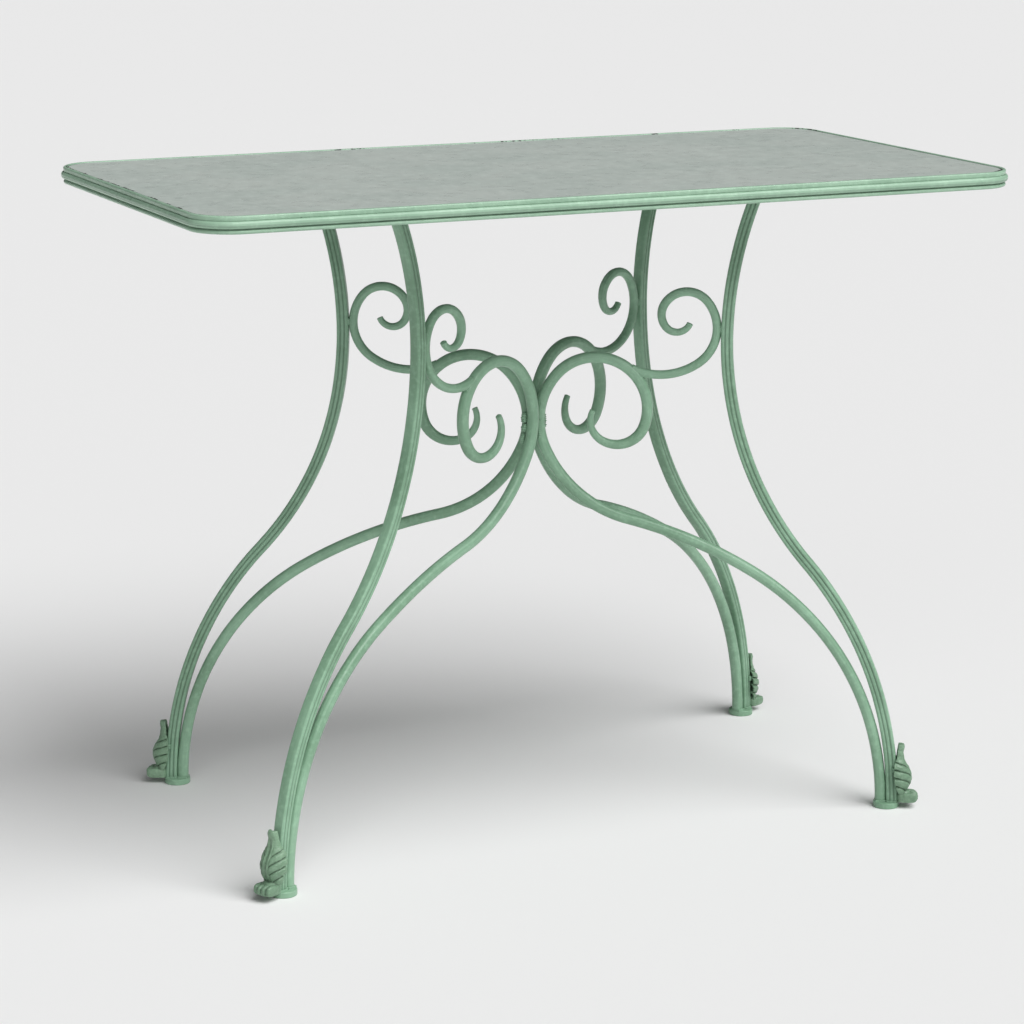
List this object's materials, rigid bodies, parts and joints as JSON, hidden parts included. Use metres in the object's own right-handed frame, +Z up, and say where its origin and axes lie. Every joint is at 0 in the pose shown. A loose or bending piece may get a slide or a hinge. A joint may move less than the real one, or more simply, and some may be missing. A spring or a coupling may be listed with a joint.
{
  "type": "bistro table",
  "caption": "Rectangular metal bistro table: sheet top in a beaded rim on welded legs with scrolls, foot discs and cast leaf-and-paw ornaments.",
  "frame": {"origin": "on the floor under the middle of the table top", "axes": "+Z up, X along the long side of the top, Y across it, front is -Y"},
  "size_m": [1, 0.52, 0.76],
  "materials": {
    "panel_paint": "satin grey-green paint, faintly mottled",
    "rim_paint": "satin sage green paint, dark where chipped beside the panel",
    "frame_paint": "satin sage green paint over forged bar",
    "cast_paint": "sage green paint over rough casting",
    "screw_steel": "painted over with the frame"
  },
  "bodies": {
    "root": {"top_panel": "panel_paint", "top_rim": "rim_paint", "batten_left": "frame_paint", "batten_right": "frame_paint", "leg_screws": "screw_steel", "centre_welds": "frame_paint", "outer_leg_front_right": "frame_paint", "inner_bar_front_right": "frame_paint", "small_scroll_front_right": "frame_paint", "foot_disc_front_right": "frame_paint", "leaf_paw_front_right": "cast_paint", "leaf_weld_front_right": "frame_paint", "scroll_weld_front_right": "frame_paint", "join_weld_front_right": "frame_paint", "leg_plate_front_right": "frame_paint", "outer_leg_back_left": "frame_paint", "inner_bar_back_left": "frame_paint", "small_scroll_back_left": "frame_paint", "foot_disc_back_left": "frame_paint", "leaf_paw_back_left": "cast_paint", "leaf_weld_back_left": "frame_paint", "scroll_weld_back_left": "frame_paint", "join_weld_back_left": "frame_paint", "leg_plate_back_left": "frame_paint", "outer_leg_front_left": "frame_paint", "inner_bar_front_left": "frame_paint", "small_scroll_front_left": "frame_paint", "foot_disc_front_left": "frame_paint", "leaf_paw_front_left": "cast_paint", "leaf_weld_front_left": "frame_paint", "scroll_weld_front_left": "frame_paint", "join_weld_front_left": "frame_paint", "leg_plate_front_left": "frame_paint", "outer_leg_back_right": "frame_paint", "inner_bar_back_right": "frame_paint", "small_scroll_back_right": "frame_paint", "foot_disc_back_right": "frame_paint", "leaf_paw_back_right": "cast_paint", "leaf_weld_back_right": "frame_paint", "scroll_weld_back_right": "frame_paint", "join_weld_back_right": "frame_paint", "leg_plate_back_right": "frame_paint"}
  },
  "joints": []
}
